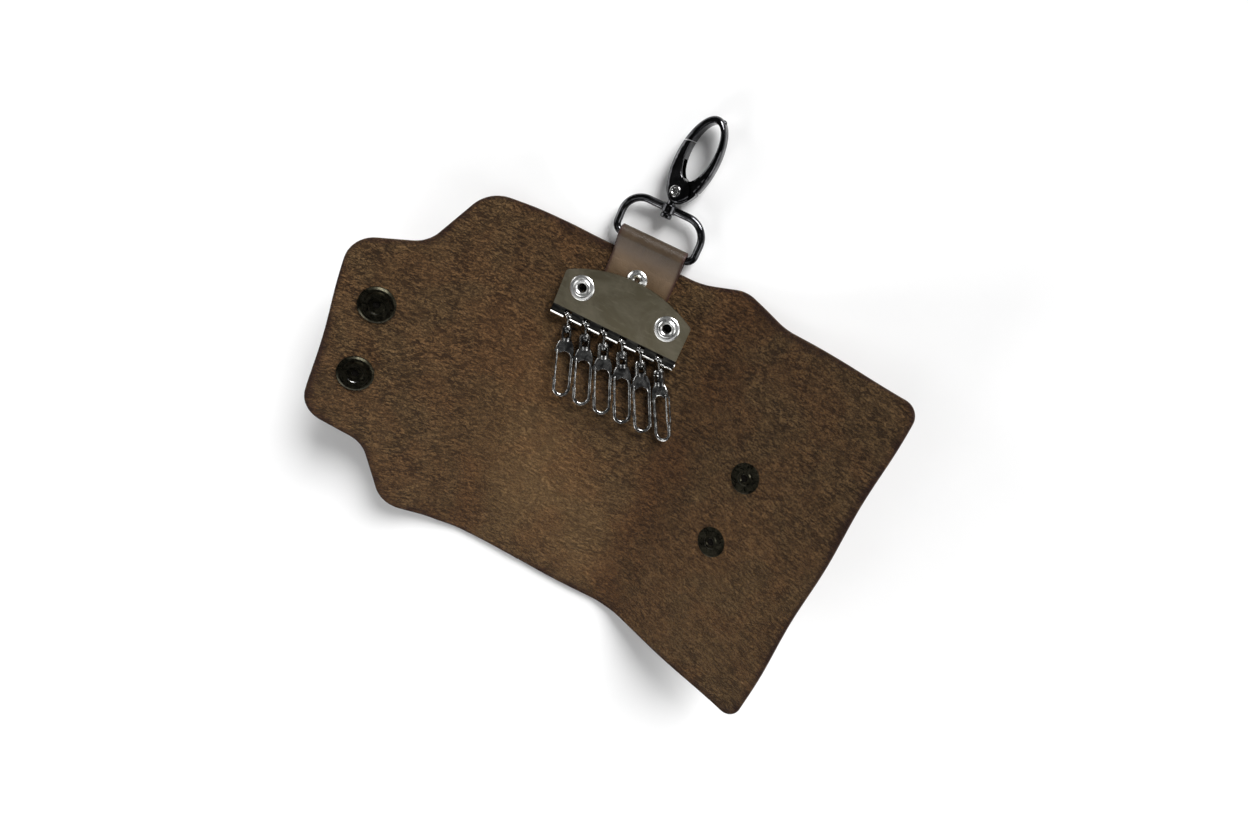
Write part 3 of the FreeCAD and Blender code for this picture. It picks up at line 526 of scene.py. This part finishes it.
def leather_piece(name, side, corners, seams, fold, replaced, material):
    loop = rounded_loop(corners)
    points, faces = flat_mesh(loop, seams)
    gap = rim_distance(points, loop, seams)
    share = np.clip(gap / EDGE_ROUND, 0.0, 1.0)
    half = THICK / 2 * (1 - (1 - share) ** EDGE_POWER) ** (1 / EDGE_POWER)
    u, v = points[:, 0], points[:, 1]
    drift_u, drift_v = outline_drift(side, u, v)
    lift = ripple(side, u, v)
    top = side.place(u + drift_u, v + drift_v, lift + half)
    bottom = side.place(u + drift_u, v + drift_v, lift - half)

    count = len(points)
    rim = gap < ON_RIM
    under = np.where(rim, np.arange(count), np.arange(count) + count)
    polygons = faces + [[int(under[i]) for i in reversed(face)] for face in faces]
    used = sorted(set(range(count)) | set(int(i) for i in under))
    renumber = {old: new for new, old in enumerate(used)}
    verts = np.concatenate([top, bottom])[used]
    polygons = [[renumber[i] for i in face] for face in polygons]
    obj = make_object(name, verts, polygons, material)

    fold_shade, painted_light = shares(side, u, v)
    band = 0.0011 + 0.0006 * np.sin(u / 0.011) * np.sin(v / 0.013)
    edge = 1 - smoothstep(band * 0.3, band * 2.2, gap)
    flat = np.stack([u, v, half], axis=1)
    flat_under = np.stack([u, v, -half], axis=1)
    store(obj, "rest_place", "FLOAT_VECTOR", np.concatenate([flat, flat_under])[used])
    upper = np.where(rim, 0.4, 1.0)
    store(obj, "suede_side", "FLOAT", np.concatenate([upper, np.zeros(count)])[used])
    store(obj, "edge_share", "FLOAT", np.concatenate([edge, edge])[used])
    store(obj, "fold_shade_share", "FLOAT", np.concatenate([fold_shade, fold_shade])[used])
    store(obj, "painted_light_share", "FLOAT", np.concatenate([painted_light, painted_light])[used])
    # painted shade where the leather shows through snap and rivet holes
    hole_shade = np.zeros(count)
    for spot, reach in METAL_HOLES:
        distance = np.hypot(top[:, 0] - spot.x, top[:, 1] - spot.y)
        hole_shade = np.maximum(hole_shade, 1 - smoothstep(reach - HOLE_BLUR, reach + HOLE_BLUR, distance))
    store(obj, "hole_shade_share", "FLOAT", np.concatenate([hole_shade, np.zeros(count)])[used])

    near = side.sign * (fold - BEND_HALF * 0.97)
    far = side.sign * (fold + BEND_HALF * 0.97)
    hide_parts(*replaced)
    ends = side.place(np.array([near, far]), np.zeros(2), np.zeros(2))
    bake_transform(obj)
    return obj


def make_case(material):
    for sign, word in ((1, "right"), (-1, "left")):
        side = Side(sign, word)
        high = side.half_height
        seam = sign * side.seam
        middle = [(0.0, -high, 0), (seam, -high, 0), (seam, high, 0), (0.0, high, 0)]
        if sign > 0:
            end = side.end
            share = (seam - SWELL_PEAK[0]) / (SWELL_RIGHT[0] - SWELL_PEAK[0])
            seam_top = SWELL_PEAK[1] + share * (high - SWELL_PEAK[1])
            foot = (SWELL_LEFT[0], high, SWELL_LEFT[1])
            middle[2:] = [(seam, seam_top, 0), SWELL_PEAK, foot, (0.0, high, 0)]
            flap = [(seam, -high, 0), (end, -high, RIGHT_CORNER), (end, high, RIGHT_CORNER),
                    (SWELL_RIGHT[0], high, SWELL_RIGHT[1]), (seam, seam_top, 0)]
        else:
            end = -side.end
            upper = [(seam, high, 0), (-SHOULDER[0], high, SHOULDER[1]),
                     (-SHOULDER_FOOT[0], SHOULDER_FOOT[1], SHOULDER_FOOT[2]), (end, TAB_HALF, TAB_ROUND)]
            flap = upper + [(x, -y, radius) for x, y, radius in reversed(upper)]
            middle = middle[::-1]
        spine = word + "_spine"
        panels = ["leather_" + word + "_inner_fold", "leather_" + spine]
        if sign > 0:
            panels.append("leather_centre_panel")
        leather_piece("suede_" + word + "_middle", side, middle, (0.0, seam), side.inner,
                      panels, material)
        leather_piece("suede_" + word + "_flap", side, flap, (seam,), side.outer,
                      ["leather_" + word + "_outer_fold", "leather_" + word + "_flap"], material)


# ---------------------------------------------------------------- loop strap

def make_strap(material):
    """A strip folded round the ring's bar: a lower and an upper layer, with rounded cut edges."""
    low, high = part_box("loop_strap")
    bar = Vector(JOINTS["clasp_ring_swing"]["pos_m"])
    radius = high.y - bar.y - STRAP_LAYER / 2
    tail = low.y
    split = low.z + STRAP_LAYER
    bend_start = -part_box("leather_centre_panel")[0].y + STRAP_PAST_CASE
    rest_gap = STRAP_LAYER / 2
    tangent = math.acos(max(-1.0, min(1.0, radius / math.hypot(bar.y - bend_start, rest_gap))))
    slope = math.atan2(rest_gap, bar.y - bend_start)
    open_angle = math.pi - slope - tangent
    path = [Vector((y, split - rest_gap)) for y in np.linspace(tail, bend_start, STRAP_CUTS)]
    arc = np.linspace(-open_angle, open_angle, STRAP_ARC_CUTS)
    path += [Vector((bar.y + radius * math.cos(a), bar.z + radius * math.sin(a))) for a in arc]
    path += [Vector((y, split + rest_gap)) for y in np.linspace(bend_start, tail, STRAP_CUTS)]
    for _ in range(STRAP_EASE_TURNS):
        eased = [(a + b * 2 + c) / 4 for a, b, c in zip(path, path[1:], path[2:])]
        for i, new in enumerate(eased, 1):
            if abs(path[i].x - bend_start) < STRAP_EASE:
                path[i] = new

    half = (high.x - low.x) / 2
    thick = STRAP_LAYER / 2 - STRAP_INSET
    section = []
    for corner in range(4):
        centre_x = (half - STRAP_EDGE) * (1 if corner in (0, 3) else -1)
        centre_z = (thick - STRAP_EDGE) * (1 if corner in (0, 1) else -1)
        for k in range(STRAP_ROUND_CUTS + 1):
            angle = (corner + k / STRAP_ROUND_CUTS) * math.pi / 2
            x = centre_x + STRAP_EDGE * math.cos(angle)
            section.append((x, centre_z + STRAP_EDGE * math.sin(angle)))
        if corner in (0, 2):
            across = np.linspace(centre_x, -centre_x, STRAP_ACROSS)[1:-1]
            level = thick if corner == 0 else -thick
            section += [(x, level) for x in across]

    verts = []
    rest = []
    edges = []
    travelled = 0.0
    size = len(section)
    for i, point in enumerate(path):
        before = path[max(i - 1, 0)]
        after = path[min(i + 1, len(path) - 1)]
        along = (after - before).normalized()
        normal = Vector((-along.y, along.x))
        travelled += (point - before).length
        for x, height in section:
            place = point - normal * height
            verts.append((x, place.x, place.y))
            rest.append((x, travelled, height))
            rim = half - abs(x)
            edges.append(1 - smoothstep(*STRAP_RIM_FADE, min(rim, travelled)))
    faces = []
    for i in range(len(path) - 1):
        for k in range(size):
            m = (k + 1) % size
            faces.append([i * size + k, i * size + m, (i + 1) * size + m, (i + 1) * size + k])
    faces.append(list(range(size))[::-1])
    faces.append([(len(path) - 1) * size + k for k in range(size)])
    strap = make_object("strap_leather", verts, faces, material)
    store(strap, "rest_place", "FLOAT_VECTOR", rest)
    store(strap, "edge_share", "FLOAT", edges)
    past_bend = np.array(rest)[:, 1] - travelled / 2
    # painted shade over the bend
    centre, width = STRAP_BEND_SHADE
    store(strap, "bend_shade_share", "FLOAT", np.exp(-((past_bend - centre) / width) ** 2))
    # painted highlight band past the bend
    centre, width, amount = STRAP_PAINTED_HIGHLIGHT
    store(strap, "painted_highlight_share", "FLOAT", amount * np.exp(-((past_bend - centre) / width) ** 2))
    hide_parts("loop_strap")
    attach(strap, "case")


# ---------------------------------------------------------------- metal parts

def paint_metal():
    """Gives each CAD metal part its material."""
    nickel = metal_material("nickel", (0.74, 0.74, 0.72), (0.90, 0.90, 0.88), (0.24, 0.36), scratch=0.3)
    dark_wire = metal_material("hook nickel", (0.13, 0.13, 0.13), (0.78, 0.78, 0.76), (0.15, 0.27),
                               scratch=0.3, cloud_scale=520.0, waves=0.22)
    plate = plate_material()
    brass = metal_material("antique brass", (0.016, 0.016, 0.012), (0.055, 0.050, 0.034), (0.24, 0.42),
                           scratch=0.6, cloud_scale=900.0, toned=(0.11, 0.10, 0.065))
    gun = metal_material("gunmetal", (0.040, 0.040, 0.043), (0.105, 0.105, 0.11), (0.08, 0.20),
                         scratch=0.2, waves=0.25)
    steel = metal_material("spring steel", (0.30, 0.30, 0.30), (0.50, 0.50, 0.50), (0.18, 0.30),
                           scratch=0.4)
    for name, node in NODES.items():
        if name.startswith("leather") or name == "loop_strap":
            continue
        if name.startswith("snap_spring") or name == "clasp_gate_spring":
            chosen = steel
        elif name.startswith("snap"):
            chosen = brass
        elif name.startswith("clasp"):
            chosen = dark_wire if name == "clasp_gate_pin" else gun
        elif name == "key_plate":
            chosen = plate
        elif name.startswith(("key_hook", "key_gate", "key_stem")):
            chosen = dark_wire
        else:
            chosen = nickel
        for slot in node.material_slots:
            slot.material = chosen


# ---------------------------------------------------------------- studio

WORLD_LIGHT = 0.04
KEY_LIGHT = 4.95
KEY_SOFTNESS = math.radians(30)
KEY_FROM = (0.30, 0.76, 0.48)
# name, place, target, size and power of the soft panels that the metal mirrors
PANELS = [
    ("front strip", (-0.20, -0.60, 0.35), (0.0, 0.0, 0.0), 0.30, 1.3),
    ("left strip", (-0.75, 0.05, 0.34), (0.0, 0.0, 0.0), 0.46, 1.4),
    ("right strip", (0.85, 0.0, 0.40), (0.0, 0.0, 0.0), 0.46, 1.4),
    ("top panel", (-0.12, -0.48, 1.42), (0.0, 0.02, 0.0), 0.62, 1.1),
]
FLOOR_RINGS = [0.5, 1.5, 2.6]    # radii of the flat floor
RIM_REACH = 0.8                  # how far out its rim curves
RIM_RISE = 0.85                  # how far up
RIM_STEPS = 8
FLOOR_STEPS = 64
CAMERA_PLACE = (0.0399, 0.1023, 0.2560)
CAMERA_RIGHT = (0.890, 0.391, -0.234)
CAMERA_BACK = (0.0954, 0.3427, 0.9346)
CAMERA_LENS = 23.08


def area_light(name, place, target, size, power):
    data = bpy.data.lights.new(name, "AREA")
    data.shape = "DISK"
    data.size = size
    data.energy = power
    lamp = bpy.data.objects.new(name, data)
    lamp.location = place
    lamp.rotation_mode = "QUATERNION"
    lamp.rotation_quaternion = (Vector(target) - Vector(place)).to_track_quat("-Z", "Y")
    bpy.context.scene.collection.objects.link(lamp)


def make_floor():
    """A flat floor whose far rim curves up into a low pale wall."""
    rings = [(radius, 0.0) for radius in FLOOR_RINGS]
    for k in range(1, RIM_STEPS + 1):
        angle = k / RIM_STEPS * math.pi / 2
        radius = FLOOR_RINGS[-1] + RIM_REACH * math.sin(angle)
        rings.append((radius, RIM_RISE * (1 - math.cos(angle))))
    turns = [2 * math.pi * k / FLOOR_STEPS for k in range(FLOOR_STEPS)]
    verts = [(0.0, 0.0, 0.0)]
    for radius, height in rings:
        verts += [(radius * math.cos(a), radius * math.sin(a), height) for a in turns]
    faces = [(0, 1 + k, 1 + (k + 1) % FLOOR_STEPS) for k in range(FLOOR_STEPS)]
    for ring in range(len(rings) - 1):
        first = 1 + ring * FLOOR_STEPS
        for k in range(FLOOR_STEPS):
            m = (k + 1) % FLOOR_STEPS
            faces.append((first + k, first + FLOOR_STEPS + k, first + FLOOR_STEPS + m, first + m))
    floor = make_object("floor", verts, faces, floor_material())


def make_lights():
    world = bpy.data.worlds.new("studio")
    world.use_nodes = True
    background = world.node_tree.nodes["Background"]
    background.inputs["Color"].default_value = (1.0, 1.0, 1.0, 1.0)
    background.inputs["Strength"].default_value = WORLD_LIGHT
    bpy.context.scene.world = world
    sun = bpy.data.lights.new("key", "SUN")
    sun.energy = KEY_LIGHT
    sun.angle = KEY_SOFTNESS
    lamp = bpy.data.objects.new("key", sun)
    lamp.rotation_mode = "QUATERNION"
    lamp.rotation_quaternion = Vector(KEY_FROM).to_track_quat("Z", "Y")
    bpy.context.scene.collection.objects.link(lamp)
    for panel in PANELS:
        area_light(*panel)
    bpy.context.scene.view_settings.view_transform = "Standard"


def make_camera():
    """The photo's camera, as it was solved from the places of the snaps, rivets, plate and outline."""
    data = bpy.data.cameras.new("camera")
    data.sensor_width = 36.0
    data.lens = CAMERA_LENS
    data.clip_start = 0.01
    data.clip_end = 20.0
    camera = bpy.data.objects.new("camera", data)
    right = Vector(CAMERA_RIGHT).normalized()
    back = Vector(CAMERA_BACK).normalized()
    up = back.cross(right).normalized()
    right = up.cross(back)
    turn = Matrix((right, up, back)).transposed()
    camera.matrix_world = Matrix.Translation(CAMERA_PLACE) @ turn.to_4x4()
    bpy.context.scene.collection.objects.link(camera)
    bpy.context.scene.camera = camera


# ---------------------------------------------------------------- build

def snap_spots():
    """Flat places of the snaps, which the leather stays level round."""
    spots = {1: [], -1: []}
    for place in ("upper", "lower"):
        for sign, node in ((1, "snap_eyelet_" + place), (-1, "snap_socket_" + place)):
            low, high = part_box(node)
            spots[sign].append((abs((low.x + high.x) / 2) * 1.05, (low.y + high.y) / 2))
    return spots


def metal_holes():
    """Middle and radius of the leather spots that only show through the holes of snaps and rivets, which
    get painted shade.
    """
    holes = []
    for name in sorted(NODES):
        if name.startswith(("snap_socket", "snap_eyelet", "plate_rivet")):
            low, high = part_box(name)
            reach = SOCKET_HOLE if name.startswith("snap_socket") else SMALL_HOLE
            holes.append(((low + high) / 2, reach))
    return holes


SNAP_SPOTS = snap_spots()
METAL_HOLES = metal_holes()
# middle, size and strength of the paler areas of the suede, which are painted light: x, y, width, height,
# amount
PAINTED_LIGHT_SPOTS = [
    (-0.004, -0.028, 0.022, 0.024, 0.9),
    (-0.020, 0.012, 0.016, 0.030, 0.55),
    (0.022, -0.045, 0.012, 0.018, 0.5),
    (0.072, -0.030, 0.026, 0.040, 0.35),
]

make_case(suede_material())
make_strap(strap_material())
paint_metal()
make_floor()
make_lights()
make_camera()
